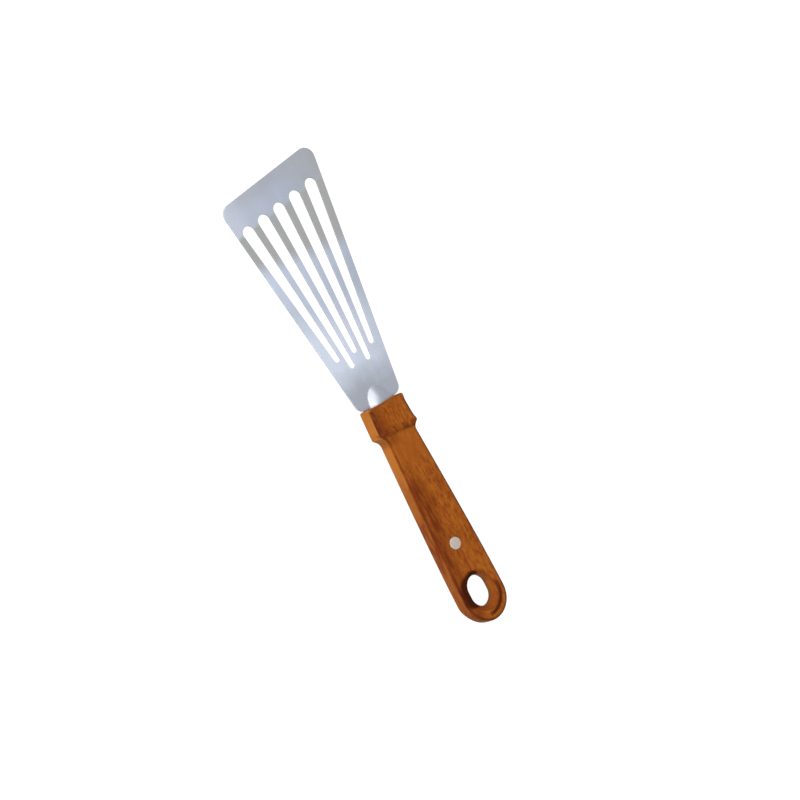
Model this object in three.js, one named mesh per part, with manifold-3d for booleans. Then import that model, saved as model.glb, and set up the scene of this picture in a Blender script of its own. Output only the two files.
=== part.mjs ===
// A slotted turner: a stamped steel blade with its own tang, a one-piece wooden handle and a two-piece rivet.
// Millimetres, +Z up, +X towards the front edge of the blade. The tool is drawn with its collar face at x = 0 and
// its middle plane at z = 0, and the exported group puts the origin under the collar, where the tool rests.
import * as THREE from "three";
import { mergeVertices } from "three/addons/utils/BufferGeometryUtils.js";
import Module from "manifold-3d";

const wasm = await Module();
wasm.setup();

// Blade sizes
const sheetThickness = 1.2;
const bladeReach = 159.7;
const bladeNeckWidth = 34;
const sideFlare = THREE.MathUtils.degToRad(8.4);
const frontSlant = THREE.MathUtils.degToRad(8.6);
const cornerRadius = 7;
const shoulderRadius = 6;

// Slot sizes
const slotCount = 5;
const frontLand = 18;
const sideBarFrontWidth = 4.8;
const sideBarRearWidth = 6;
const slotRearReach = 35.3;
const longSlotExtra = 7.8;
const slotFrontWidth = 8.9;
const slotRearWidth = 4.3;
const slotFanTurn = THREE.MathUtils.degToRad(0.6);
const slotFanPivot = 96;

// Bead and tang sizes
const beadWidth = 17;
const beadHeight = 3;
const beadNose = 12.2;
const beadTail = 34;
const tangWidth = 19;
const tangReachPastRivet = 13;
const tangCornerRadius = 4;

// Handle sizes
const handleLength = 154.4;
const collarLength = 19;
const collarThickness = 15;
const collarTaper = 1;
const collarLip = 2.75;
const collarEdgeRadius = 1.3;
const collarCornerExtra = 0.2;
const coveRadius = 6.5;
const gripThickness = 13;
const gripNeckWidth = 23.8;
const gripEndWidth = 32.2;
const gripSwellReach = 79;
const gripEndLength = 17;
const gripEdgeRadius = 2.8;

// Hang hole sizes
const holeWidth = 16.3;
const holeLength = 20.3;
const holeSetback = 21;
const holeRimWidth = 4;
const holeRimDepth = 6;

// Rivet sizes
const rivetReach = 99.6;
const rivetOffset = 2.4;
const rivetHeadDiameter = 8.2;
const rivetHeadThickness = 1.6;
const rivetProud = 0.15;
const pinDiameter = 3.2;
const sleeveWall = 1.1;

// Gap kept all round between a piece and the one it sits in
const clearance = 0.3;

// Facet counts, and the small angle left flat at the very tip of the grip
const arcSteps = 6;
const edgeSteps = 4;
const roundSteps = 40;
const beadSteps = 5;
const tipAngle = 0.02;

// Looks
const steelLook = { color: 0xb9bfc9, roughness: 0.32, metalness: 1 };
const woodLook = { color: 0x9b551c, roughness: 0.42, metalness: 0 };
const rivetLook = { color: 0xc8bbb1, roughness: 0.45, metalness: 1 };

const halfPi = Math.PI / 2;

// Turns a geometry into a solid that can be joined and cut
function solid(geometry) {
  geometry.deleteAttribute("normal");
  geometry.deleteAttribute("uv");
  const merged = mergeVertices(geometry, 1e-4);
  return new wasm.Manifold(new wasm.Mesh({
    numProp: 3,
    vertProperties: new Float32Array(merged.attributes.position.array),
    triVerts: new Uint32Array(merged.index.array),
  }));
}

// Turns rows of points, all of one length and each going round the body, into a closed solid. The first and last
// rows are closed by joining the points of their first half to those of their second half.
function loft(rows) {
  const count = rows[0].length;
  const indices = [];
  const quad = (a, b, c, d) => indices.push(a, b, c, a, c, d);
  for (let row = 0; row + 1 < rows.length; row++) {
    for (let i = 0; i < count; i++) {
      const near = row * count + i;
      const next = row * count + ((i + 1) % count);
      quad(near, near + count, next + count, next);
    }
  }
  const last = (rows.length - 1) * count;
  for (let i = 0; i + 1 < count / 2; i++) {
    const across = count - 1 - i;
    quad(i, i + 1, across - 1, across);
    quad(last + across, last + across - 1, last + i + 1, last + i);
  }
  const geometry = new THREE.BufferGeometry();
  geometry.setAttribute("position", new THREE.Float32BufferAttribute(rows.flat(2), 3));
  geometry.setIndex(indices);
  return solid(geometry);
}

// Turns a solid into a named mesh with its own material
function piece(name, body, look) {
  const { vertProperties, triVerts } = body.getMesh();
  const geometry = new THREE.BufferGeometry();
  geometry.setAttribute("position", new THREE.BufferAttribute(vertProperties, 3));
  geometry.setIndex(new THREE.BufferAttribute(triVerts, 1));
  geometry.computeVertexNormals();
  const mesh = new THREE.Mesh(geometry, new THREE.MeshStandardMaterial(look));
  mesh.name = name;
  return mesh;
}

// A flat plate of a given thickness, with its middle at z = 0
function plate(shape, thickness) {
  const geometry = new THREE.ExtrudeGeometry(shape, {
    depth: thickness,
    curveSegments: arcSteps,
    bevelEnabled: false,
  });
  geometry.translate(0, 0, -thickness / 2);
  return solid(geometry);
}

// A closed outline through corners [x, y, radius], given anticlockwise, with each corner rounded by an arc
function roundedOutline(corners) {
  const shape = new THREE.Shape();
  corners.forEach(([x, y, radius], i) => {
    const corner = new THREE.Vector2(x, y);
    const before = new THREE.Vector2(...corners.at(i - 1)).sub(corner).normalize();
    const after = new THREE.Vector2(...corners[(i + 1) % corners.length]).sub(corner).normalize();
    const turnsRight = before.cross(after) > 0;
    const halfAngle = Math.acos(before.dot(after)) / 2;
    const run = radius / Math.tan(halfAngle);
    const toCentre = before.clone().add(after).setLength(radius / Math.sin(halfAngle));
    const start = before.multiplyScalar(run).sub(toCentre).angle();
    const end = after.multiplyScalar(run).sub(toCentre).angle();
    shape.absarc(x + toCentre.x, y + toCentre.y, radius, start, end, turnsRight);
  });
  return shape;
}

// A round bar on the rivet's axis, from one height to another
function rivetBar(radius, low, high) {
  const geometry = new THREE.CylinderGeometry(radius, radius, high - low, roundSteps);
  geometry.rotateX(halfPi);
  geometry.translate(-rivetReach, rivetOffset, (low + high) / 2);
  return solid(geometry);
}

const sleeveRadius = pinDiameter / 2 + clearance + sleeveWall;
const headRadius = rivetHeadDiameter / 2;
const headTop = gripThickness / 2 + rivetProud;
const headUnder = headTop - rivetHeadThickness;

const flareSlope = Math.tan(sideFlare);
const slantSlope = Math.tan(frontSlant);
const neckHalf = bladeNeckWidth / 2;
const tangHalf = tangWidth / 2;
const tangLength = rivetReach + tangReachPastRivet;
const shoulderX = clearance;

// Where a side edge and the slanted front edge would meet, before the corner is rounded
function frontCorner(side) {
  const x = (bladeReach - side * slantSlope * neckHalf) / (1 + side * slantSlope * flareSlope);
  return [x, side * (neckHalf + flareSlope * x), cornerRadius];
}

// The plan of the blade and its tang
function bladeOutline() {
  const shoulderY = neckHalf + flareSlope * shoulderX;
  return roundedOutline([
    frontCorner(-1),
    frontCorner(1),
    [shoulderX, shoulderY, shoulderRadius],
    [shoulderX, tangHalf, clearance],
    [-tangLength, tangHalf, tangCornerRadius],
    [-tangLength, -tangHalf, tangCornerRadius],
    [shoulderX, -tangHalf, clearance],
    [shoulderX, -shoulderY, shoulderRadius],
  ]);
}

const outermost = (slotCount - 1) / 2;
const slotFrontRadius = slotFrontWidth / 2;
const slotRearRadius = slotRearWidth / 2;

// One slot of the fan, as two unequal round ends joined by their outer tangents. The whole fan is turned
// a little about a point on the blade's middle line.
function slotOutline(place) {
  const frontPlaneX = bladeReach - frontLand - slotFrontRadius;
  const rearPlaneX = slotRearReach + slotRearRadius;
  const frontPitch = (neckHalf + flareSlope * frontPlaneX - sideBarFrontWidth - slotFrontRadius) / outermost;
  const rearPitch = (neckHalf + flareSlope * rearPlaneX - sideBarRearWidth - slotRearRadius) / outermost;
  const spread = (place * (frontPitch - rearPitch)) / (frontPlaneX - rearPlaneX);
  const turn = Math.tan(slotFanTurn);
  const fan = spread + turn;
  const middleY = (x) => place * rearPitch + spread * (x - rearPlaneX) + turn * (x - slotFanPivot);
  const rearX = rearPlaneX - (Math.abs(place) % 2) * longSlotExtra;
  const frontX = (frontPlaneX - slantSlope * middleY(0)) / (1 + slantSlope * fan);
  const rear = new THREE.Vector2(rearX, middleY(rearX));
  const front = new THREE.Vector2(frontX, middleY(frontX));
  const along = front.clone().sub(rear);
  const heading = along.angle();
  const swing = halfPi + Math.asin((slotFrontRadius - slotRearRadius) / along.length());
  const path = new THREE.Path();
  path.absarc(front.x, front.y, slotFrontRadius, heading - swing, heading + swing, false);
  path.absarc(rear.x, rear.y, slotRearRadius, heading + swing, heading - swing, false);
  return path;
}

// The swelling of the bead, grown or shrunk all round, as a round-nosed bar squashed to an ellipse
function beadBody(growth) {
  const radius = beadWidth / 2 + growth;
  const nose = beadNose + growth;
  const height = beadHeight + sheetThickness + growth;
  const profile = new THREE.Path();
  profile.absellipse(0, -beadTail, radius, nose, -halfPi, 0, false);
  profile.absellipse(0, 0, radius, nose, 0, halfPi, false);
  const points = profile.getPoints(beadSteps);
  points[0].x = 0;
  points.at(-1).x = 0;
  const geometry = new THREE.LatheGeometry(points, roundSteps);
  geometry.rotateZ(-halfPi);
  geometry.scale(1, 1, height / radius);
  geometry.translate(0, 0, -sheetThickness / 2);
  return solid(geometry);
}

// The part of the bead above the middle of the sheet
function beadTop(growth) {
  const length = 2 * (beadTail + 2 * beadNose);
  const height = 2 * (beadHeight + sheetThickness);
  const above = new THREE.BoxGeometry(length, 2 * beadWidth, height);
  above.translate(0, 0, height / 2);
  return beadBody(growth).intersect(solid(above));
}

function makeBlade() {
  const shape = bladeOutline();
  for (let place = -outermost; place <= outermost; place++) {
    shape.holes.push(slotOutline(place));
  }
  const rivetHole = rivetBar(sleeveRadius + clearance, -sheetThickness, sheetThickness);
  const body = plate(shape, sheetThickness)
    .add(beadTop(0))
    .subtract(beadBody(-sheetThickness))
    .subtract(rivetHole);
  return piece("blade", body, steelLook);
}

const gripNeckHalf = gripNeckWidth / 2;
const collarRearHalf = gripNeckHalf + collarLip;
const collarCornerRadius = collarEdgeRadius + collarCornerExtra;
const coveReach = coveRadius + collarCornerRadius;
const coveTurn = Math.acos(1 - collarLip / coveReach);

// Points and outward normals along a path that runs with the wood on its left, with the collar's share at each
function walk(path, collarShare) {
  const stations = [];
  for (const curve of path.curves) {
    const steps = curve.isLineCurve ? 1 : 2 * arcSteps;
    for (let i = 1; i <= steps; i++) {
      const point = curve.getPoint(i / steps);
      const heading = curve.getTangent(i / steps);
      stations.push({ point, normal: new THREE.Vector2(heading.y, -heading.x), share: collarShare(point.y) });
    }
  }
  return stations;
}

// Half of the handle's plan, from the front of the collar round to the tip of the grip
function handleStations() {
  const coveEnd = -collarLength - coveReach * Math.sin(coveTurn);
  const coveRise = coveRadius * (1 - Math.cos(coveTurn));
  const cornerY = collarRearHalf - collarCornerRadius;
  const endHalf = gripEndWidth / 2;
  const endCentre = gripEndLength - handleLength;
  const frontHalf = collarRearHalf - collarTaper;
  const nearTip = Math.PI - tipAngle;

  const collar = new THREE.Path();
  collar.moveTo(0, 0);
  collar.lineTo(0, frontHalf - collarCornerRadius);
  collar.absarc(-collarCornerRadius, frontHalf - collarCornerRadius, collarCornerRadius, 0, halfPi, false);
  collar.absarc(-collarLength, cornerY, collarCornerRadius, halfPi, halfPi + coveTurn, false);
  const cove = new THREE.Path();
  cove.absarc(coveEnd, gripNeckHalf + coveRadius, coveRadius, coveTurn - halfPi, -halfPi, true);
  const grip = new THREE.Path();
  grip.moveTo(coveEnd, gripNeckHalf);
  grip.quadraticCurveTo(coveEnd - gripSwellReach, endHalf, endCentre, endHalf);
  grip.absellipse(endCentre, 0, gripEndLength, endHalf, halfPi, nearTip, false);

  return [
    ...walk(collar, () => 1),
    ...walk(cove, (y) => ((y - gripNeckHalf) / coveRise) ** 2),
    ...walk(grip, () => 0),
  ];
}

// The handle's outer body: at each station the side rises between two quarter rounds, mirrored across the tool
function handleBody() {
  const rows = handleStations().map(({ point, normal, share }) => {
    const radius = THREE.MathUtils.lerp(gripEdgeRadius, collarEdgeRadius, share);
    const half = THREE.MathUtils.lerp(gripThickness, collarThickness, share) / 2;
    const upper = [];
    for (let i = 0; i <= edgeSteps; i++) {
      const angle = (halfPi * i) / edgeSteps;
      const inset = radius * (1 - Math.cos(angle));
      const z = half - radius * (1 - Math.sin(angle));
      upper.push([point.x - normal.x * inset, point.y - normal.y * inset, z]);
    }
    const lower = upper.map(([x, y, z]) => [x, y, -z]).reverse();
    const side = [...lower, ...upper];
    return [...side, ...side.map(([x, y, z]) => [x, -y, z]).reverse()];
  });
  return loft(rows);
}

// The hang hole's cutter: a stadium that flares at both rims by a quarter of an ellipse
function holeCutter() {
  const half = gripThickness / 2;
  const depth = Math.min(holeRimDepth, half - clearance);
  const straight = holeLength - holeWidth;
  const centreX = holeSetback - handleLength;
  const levels = [[half + clearance, holeRimWidth]];
  for (let i = 0; i <= edgeSteps; i++) {
    const angle = (halfPi * i) / edgeSteps;
    levels.push([half - depth * (1 - Math.cos(angle)), holeRimWidth * (1 - Math.sin(angle))]);
  }
  levels.push(...levels.map(([z, growth]) => [-z, growth]).reverse());
  return loft(levels.map(([z, growth]) => {
    const reach = holeWidth / 2 + growth;
    return Array.from({ length: roundSteps }, (_, i) => {
      const angle = (2 * Math.PI * (i + 0.5)) / roundSteps;
      const shift = (Math.sign(Math.cos(angle)) * straight) / 2;
      return [centreX + shift + reach * Math.cos(angle), reach * Math.sin(angle), z];
    });
  }));
}

// The blind mortise: the tang and its bead, with clearance all round, open at the collar face
function mortiseCutter() {
  const half = tangHalf + clearance;
  const mouth = collarThickness;
  const depth = tangLength + clearance;
  const shape = roundedOutline([
    [mouth, -half, clearance],
    [mouth, half, clearance],
    [-depth, half, tangCornerRadius + clearance],
    [-depth, -half, tangCornerRadius + clearance],
  ]);
  return plate(shape, sheetThickness + 2 * clearance).add(beadTop(clearance));
}

function makeHandle() {
  const counterboreRadius = headRadius + clearance;
  const counterboreFloor = headUnder - clearance;
  const past = gripThickness;
  const body = handleBody()
    .subtract(holeCutter())
    .subtract(mortiseCutter())
    .subtract(rivetBar(sleeveRadius + clearance, -past, past))
    .subtract(rivetBar(counterboreRadius, counterboreFloor, past))
    .subtract(rivetBar(counterboreRadius, -past, -counterboreFloor));
  return piece("handle", body, woodLook);
}

// Spins a half profile of [radius, height] points about the rivet's axis
function turned(profile) {
  const points = profile.map(([radius, height]) => new THREE.Vector2(radius, height));
  const geometry = new THREE.LatheGeometry(points, roundSteps);
  geometry.rotateX(halfPi);
  return solid(geometry);
}

const sleeveTop = headUnder - clearance;
const boreFloor = -headUnder;

function makeRivetPin() {
  const pinRadius = pinDiameter / 2;
  const tip = boreFloor + clearance;
  return piece("rivet_pin", turned([
    [0, tip],
    [pinRadius, tip],
    [pinRadius, headUnder],
    [headRadius, headUnder],
    [headRadius, headTop],
    [0, headTop],
  ]), rivetLook);
}

function makeRivetSleeve() {
  const boreRadius = pinDiameter / 2 + clearance;
  return piece("rivet_sleeve", turned([
    [0, -headTop],
    [headRadius, -headTop],
    [headRadius, -headUnder],
    [sleeveRadius, -headUnder],
    [sleeveRadius, sleeveTop],
    [boreRadius, sleeveTop],
    [boreRadius, boreFloor],
    [0, boreFloor],
  ]), rivetLook);
}

const rivet = new THREE.Group();
rivet.add(makeRivetPin(), makeRivetSleeve());
rivet.position.set(-rivetReach, rivetOffset, 0);

const tool = new THREE.Group();
tool.add(makeBlade(), makeHandle(), rivet);
tool.position.set(collarLength / 2, 0, collarThickness / 2);

const spatula = new THREE.Group();
spatula.name = "spatula";
spatula.add(tool);

export default spatula;
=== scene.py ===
# %% [markdown]
# # A slotted turner in steel and wood
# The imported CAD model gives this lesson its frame: four solids at their real size and place. Each of them
# is made again here with finer curves and a finish of its own, exactly where the solid is, so that the tool
# can be looked at closely and from any side.

# %% Load the frame
import math

import bmesh
import bpy
from mathutils import Matrix, Vector


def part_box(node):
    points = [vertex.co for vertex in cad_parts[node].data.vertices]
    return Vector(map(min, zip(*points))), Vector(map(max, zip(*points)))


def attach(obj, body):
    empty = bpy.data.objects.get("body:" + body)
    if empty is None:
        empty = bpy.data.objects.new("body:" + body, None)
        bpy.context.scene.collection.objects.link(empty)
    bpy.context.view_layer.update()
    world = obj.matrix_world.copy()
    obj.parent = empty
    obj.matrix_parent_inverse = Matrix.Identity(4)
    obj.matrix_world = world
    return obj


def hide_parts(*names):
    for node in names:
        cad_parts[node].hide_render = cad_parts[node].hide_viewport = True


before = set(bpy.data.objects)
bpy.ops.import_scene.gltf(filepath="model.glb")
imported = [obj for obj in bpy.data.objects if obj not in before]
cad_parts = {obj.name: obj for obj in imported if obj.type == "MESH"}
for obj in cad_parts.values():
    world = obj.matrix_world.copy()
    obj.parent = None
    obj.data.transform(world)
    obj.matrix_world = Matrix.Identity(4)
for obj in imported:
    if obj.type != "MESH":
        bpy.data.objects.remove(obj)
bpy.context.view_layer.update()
MM = 0.001
print("solids in the frame:", ", ".join(sorted(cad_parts)))

# %% [markdown]
# Sizes are written in millimetres, as on a drawing, and turned into Blender's metres where they are used.
# Places come from the frame: the end of the tang, the face of the collar, the tip of the handle, the middle
# plane of the tool and the axis of the rivet, which stands a little to the left of the handle's middle. +X
# runs to the front edge of the blade, +Y to the left and +Z up.

# %% Take the main places from the frame
tang_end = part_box("blade")[0].x
handle_low, handle_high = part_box("handle")
pin_low, pin_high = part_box("rivet_pin")
collar_face = handle_high.x
handle_tip = handle_low.x
middle = (handle_low.z + handle_high.z) / 2
rivet_axis = (pin_low + pin_high).xy / 2
print(f"collar face {collar_face / MM:.2f} mm, handle tip {handle_tip / MM:.2f} mm")
print(f"rivet axis at {rivet_axis.x / MM:.2f}, {rivet_axis.y / MM:.2f} mm")

# %% [markdown]
# The camera stands far off with a long lens, high on the left of the tool, and is rolled so that the blade
# points to the upper left. A long lens keeps the edges almost parallel, as in a catalogue picture. The
# camera is slid sideways rather than shifted, so the same camera also serves for views from other sides.

# %% Set up the camera
IMAGE_SIDE = 800
VIEW_AZIMUTH = math.radians(171.95)
VIEW_ELEVATION = math.radians(59.22)
VIEW_ROLL = math.radians(69.5)
VIEW_DISTANCE = 3.0
PIXELS_PER_METRE = 1591.7
AIM = Vector((0.015, 0.0, middle))
AIM_PIXEL = (376.5, 395.2)
SENSOR_SIDE = 36.0

flat = math.cos(VIEW_ELEVATION)
back = Vector((math.sin(VIEW_AZIMUTH) * flat, -math.cos(VIEW_AZIMUTH) * flat, math.sin(VIEW_ELEVATION)))
right = Vector((math.cos(VIEW_AZIMUTH), math.sin(VIEW_AZIMUTH), 0.0))
upright = Matrix((right, back.cross(right), back)).transposed()
rolled = Matrix.Rotation(VIEW_ROLL, 3, back) @ upright
slide_right = (IMAGE_SIDE / 2 - AIM_PIXEL[0]) / PIXELS_PER_METRE
slide_down = (IMAGE_SIDE / 2 - AIM_PIXEL[1]) / PIXELS_PER_METRE

camera = bpy.data.objects.new("camera", bpy.data.cameras.new("camera"))
bpy.context.scene.collection.objects.link(camera)
camera.data.sensor_width = SENSOR_SIDE
camera.data.lens = SENSOR_SIDE * PIXELS_PER_METRE * VIEW_DISTANCE / IMAGE_SIDE
camera.data.clip_end = 10 * VIEW_DISTANCE
camera.matrix_world = Matrix.LocRotScale(
    AIM + rolled @ Vector((slide_right, -slide_down, VIEW_DISTANCE)), rolled.to_quaternion(), None
)
bpy.context.scene.camera = camera
print(f"camera with a {camera.data.lens:.0f} mm lens at {VIEW_DISTANCE:.1f} m")

# %% [markdown]
# Flat outlines are drawn with a pen that extrudes its newest vertex: straight for a line, and with spin for
# an arc, so a round corner is a true arc with as many steps as it needs. Turned shapes are a half profile
# that spin takes all the way round an upright axis.

# %% Helpers for drawing
ARC_STEPS = 12
MERGE = 0.001 * MM


class Pen:
    """Draws a flat outline: every stroke extrudes the newest vertex."""

    def __init__(self, shape, x, y, height):
        self.shape = shape
        self.vertex = shape.verts.new((x, y, height))
        self.first = self.vertex

    def line(self, x, y):
        made = bmesh.ops.extrude_vert_indiv(self.shape, verts=[self.vertex])
        self.vertex = made["verts"][0]
        self.vertex.co.xy = x, y

    def arc(self, x, y, angle, steps=ARC_STEPS):
        centre = (x, y, self.vertex.co.z)
        made = bmesh.ops.spin(
            self.shape, geom=[self.vertex], cent=centre, axis=(0, 0, 1), angle=angle, steps=steps
        )
        self.vertex = next(g for g in made["geom_last"] if isinstance(g, bmesh.types.BMVert))

    def close(self):
        self.shape.edges.new((self.vertex, self.first))


def draw_rounded(shape, corners, height):
    """Draws a closed outline through corners (x, y, radius), given anticlockwise."""
    pen = None
    for i, (x, y, radius) in enumerate(corners):
        corner = Vector((x, y))
        before = (Vector(corners[i - 1][:2]) - corner).normalized()
        after = (Vector(corners[(i + 1) % len(corners)][:2]) - corner).normalized()
        half = before.angle(after) / 2
        start = corner + before * radius / math.tan(half)
        centre = corner + (before + after).normalized() * radius / math.sin(half)
        turn = math.copysign(math.pi - 2 * half, after.cross(before))
        if pen is None:
            pen = Pen(shape, *start, height)
        else:
            pen.line(*start)
        pen.arc(*centre, turn)
    pen.close()


def lift(shape, rise):
    """Extrudes all the flat faces of a shape straight up into a solid."""
    made = bmesh.ops.extrude_face_region(shape, geom=shape.faces[:])
    top = [g for g in made["geom"] if isinstance(g, bmesh.types.BMVert)]
    bmesh.ops.translate(shape, verts=top, vec=(0, 0, rise))
    bmesh.ops.recalc_face_normals(shape, faces=shape.faces[:])


def turn_round(profile, axis, steps):
    """Spins a half profile of (radius, height over the middle plane) about an upright axis."""
    shape = bmesh.new()
    points = [shape.verts.new((axis[0] + radius, axis[1], middle + height)) for radius, height in profile]
    line = [shape.edges.new(pair) for pair in zip(points, points[1:])]
    bmesh.ops.spin(
        shape, geom=[*points, *line], cent=(*axis, 0), axis=(0, 0, 1),
        angle=2 * math.pi, steps=steps, use_merge=True,
    )
    bmesh.ops.remove_doubles(shape, verts=shape.verts[:], dist=MERGE)
    bmesh.ops.recalc_face_normals(shape, faces=shape.faces[:])
    return shape


# %% [markdown]
# Three more helpers turn a bmesh into an object, make the result of its modifiers final, and cut one shape
# out of an object. A fourth ends every piece in the same way: it merges the vertices that the cuts left
# double, shades the piece smoothly but keeps real edges sharp, lets the normals follow the large faces, and
# makes the calls that put the piece in place of its solid.

# %% Helpers for objects
SHARP_ANGLE = math.radians(38)


def new_object(name, shape):
    """Turns a bmesh into an object at the origin."""
    mesh = bpy.data.meshes.new(name)
    shape.to_mesh(mesh)
    shape.free()
    made = bpy.data.objects.new(name, mesh)
    bpy.context.scene.collection.objects.link(made)
    return made


def settle(piece):
    """Makes the result of the piece's modifiers its own mesh."""
    graph = bpy.context.evaluated_depsgraph_get()
    mesh = bpy.data.meshes.new_from_object(piece.evaluated_get(graph))
    piece.modifiers.clear()
    piece.data = mesh


def carve(piece, shape):
    """Cuts a shape out of a piece."""
    cutter = new_object("cutter", shape)
    cut = piece.modifiers.new("cut", "BOOLEAN")
    cut.solver = "EXACT"
    cut.object = cutter
    settle(piece)
    bpy.data.objects.remove(cutter)


def finish_piece(piece, node):
    """Merges what the cuts left double, shades a piece and sets it in place of its solid."""
    shape = bmesh.new()
    shape.from_mesh(piece.data)
    bmesh.ops.remove_doubles(shape, verts=shape.verts[:], dist=MERGE)
    shape.to_mesh(piece.data)
    shape.free()
    piece.data.shade_smooth()
    piece.data.set_sharp_from_angle(angle=SHARP_ANGLE)
    weighted = piece.modifiers.new("weighted normals", "WEIGHTED_NORMAL")
    weighted.keep_sharp = True
    settle(piece)
    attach(piece, "root")
    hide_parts(node)
    print(f"{piece.name}: {len(piece.data.vertices)} vertices, {len(piece.data.polygons)} faces")


# %% [markdown]
# The blade is one stamped sheet. Its plan flares from the neck to a slanted front edge, and a narrow tang
# runs back into the handle and past the rivet. Drawing the plan as one outline, with the slots as more
# outlines inside it, lets a single fill make the sheet with its holes.

# %% Draw the plan of the blade
SHEET = 1.2 * MM
BLADE_REACH = 159.7 * MM
NECK_HALF = 17.0 * MM
FLARE_SLOPE = math.tan(math.radians(8.4))
SLANT_SLOPE = math.tan(math.radians(8.6))
CORNER_RADIUS = 7.0 * MM
SHOULDER_RADIUS = 6.0 * MM
CLEARANCE = 0.3 * MM
TANG_HALF = 9.5 * MM
TANG_CORNER_RADIUS = 4.0 * MM
sheet_under = middle - SHEET / 2
shoulder_x = collar_face + CLEARANCE


def front_corner(side):
    """Where a side edge and the slanted front edge meet, before the corner is rounded."""
    reach = (BLADE_REACH - side * SLANT_SLOPE * NECK_HALF) / (1 + side * SLANT_SLOPE * FLARE_SLOPE)
    return collar_face + reach, side * (NECK_HALF + FLARE_SLOPE * reach), CORNER_RADIUS


blade = bmesh.new()
shoulder_y = NECK_HALF + FLARE_SLOPE * CLEARANCE
draw_rounded(
    blade,
    [
        front_corner(-1),
        front_corner(1),
        (shoulder_x, shoulder_y, SHOULDER_RADIUS),
        (shoulder_x, TANG_HALF, CLEARANCE),
        (tang_end, TANG_HALF, TANG_CORNER_RADIUS),
        (tang_end, -TANG_HALF, TANG_CORNER_RADIUS),
        (shoulder_x, -TANG_HALF, CLEARANCE),
        (shoulder_x, -shoulder_y, SHOULDER_RADIUS),
    ],
    sheet_under,
)
print(f"blade outline: {len(blade.edges)} edges")

# %% [markdown]
# The slots let fat drain while the food stays on the blade. Each is a long tapered hole with round ends, so
# it is drawn as two arcs, one round each end, and the straight lines that touch both. The fan of slots is
# worked out from the width of the bars at its two sides, and is turned by a fraction of a degree, as
# punched slots can be.

# %% Draw the slots
SLOT_PLACES = (-2, -1, 0, 1, 2)
FRONT_LAND = 18.0 * MM
SIDE_BAR_FRONT = 4.8 * MM
SIDE_BAR_REAR = 6.0 * MM
SLOT_REAR_REACH = 35.3 * MM
LONG_SLOT_EXTRA = 7.8 * MM
SLOT_FRONT_RADIUS = 4.45 * MM
SLOT_REAR_RADIUS = 2.15 * MM
FAN_TURN = math.tan(math.radians(0.6))
FAN_PIVOT = 96.0 * MM
front_plane = BLADE_REACH - FRONT_LAND - SLOT_FRONT_RADIUS
rear_plane = SLOT_REAR_REACH + SLOT_REAR_RADIUS
outermost = max(SLOT_PLACES)
front_pitch = (NECK_HALF + FLARE_SLOPE * front_plane - SIDE_BAR_FRONT - SLOT_FRONT_RADIUS) / outermost
rear_pitch = (NECK_HALF + FLARE_SLOPE * rear_plane - SIDE_BAR_REAR - SLOT_REAR_RADIUS) / outermost


def toward(angle):
    return Vector((math.cos(angle), math.sin(angle)))


for place in SLOT_PLACES:
    spread = place * (front_pitch - rear_pitch) / (front_plane - rear_plane)
    fan = spread + FAN_TURN
    at_collar = place * rear_pitch - spread * rear_plane - FAN_TURN * FAN_PIVOT
    rear_reach = rear_plane - place % 2 * LONG_SLOT_EXTRA
    front_reach = (front_plane - SLANT_SLOPE * at_collar) / (1 + SLANT_SLOPE * fan)
    rear = Vector((collar_face + rear_reach, at_collar + fan * rear_reach))
    front = Vector((collar_face + front_reach, at_collar + fan * front_reach))
    heading = math.atan(fan)
    swing = math.pi / 2 + math.asin((SLOT_FRONT_RADIUS - SLOT_REAR_RADIUS) / (front - rear).length)
    pen = Pen(blade, *(front + toward(heading - swing) * SLOT_FRONT_RADIUS), sheet_under)
    pen.arc(*front, 2 * swing)
    pen.line(*(rear + toward(heading + swing) * SLOT_REAR_RADIUS))
    pen.arc(*rear, 2 * math.pi - 2 * swing)
    pen.close()
slot_widths = [2 * radius / MM for radius in (SLOT_REAR_RADIUS, SLOT_FRONT_RADIUS)]
print(f"{len(SLOT_PLACES)} slots, {slot_widths[0]:.1f} to {slot_widths[1]:.1f} mm wide")

# %% [markdown]
# Filling the outlines gives the sheet, and lifting it gives the thickness. A press leaves every punched
# edge very slightly rounded, and that fine rounding is what catches the light along the slots, so it is a
# real bevel here.

# %% Fill, thicken and ease the edges of the sheet
EASED_EDGE = 0.2 * MM
EASE_STEPS = 3
ROUND_PROFILE = 0.5
RIM_ANGLE = math.radians(60)


def rim_edges(shape, tallest):
    """The sharp edges that run along a rim, and not up a wall."""
    sharp = [e for e in shape.edges if e.calc_face_angle(0) > RIM_ANGLE]
    return [e for e in sharp if abs(e.verts[0].co.z - e.verts[1].co.z) < tallest]


bmesh.ops.triangle_fill(blade, edges=blade.edges[:], use_beauty=True, use_dissolve=False, normal=(0, 0, 1))
lift(blade, SHEET)
rims = rim_edges(blade, SHEET / 2)
bmesh.ops.bevel(
    blade, geom=rims, offset=EASED_EDGE, offset_type="OFFSET", segments=EASE_STEPS,
    profile=ROUND_PROFILE, affect="EDGES", material=-1,
)
print(f"sheet with {len(rims)} rim edges eased by {EASED_EDGE / MM:.2f} mm")

# %% [markdown]
# A rounded bead is pressed up out of the neck to stiffen it, and runs on under the collar. Pressing is what
# makes it, so the sheet is pressed here too: planes cut a fine grid into the neck, and each point of the
# grid rises by the height of the bead there. Both faces rise together, so the bead is hollow underneath.

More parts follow.
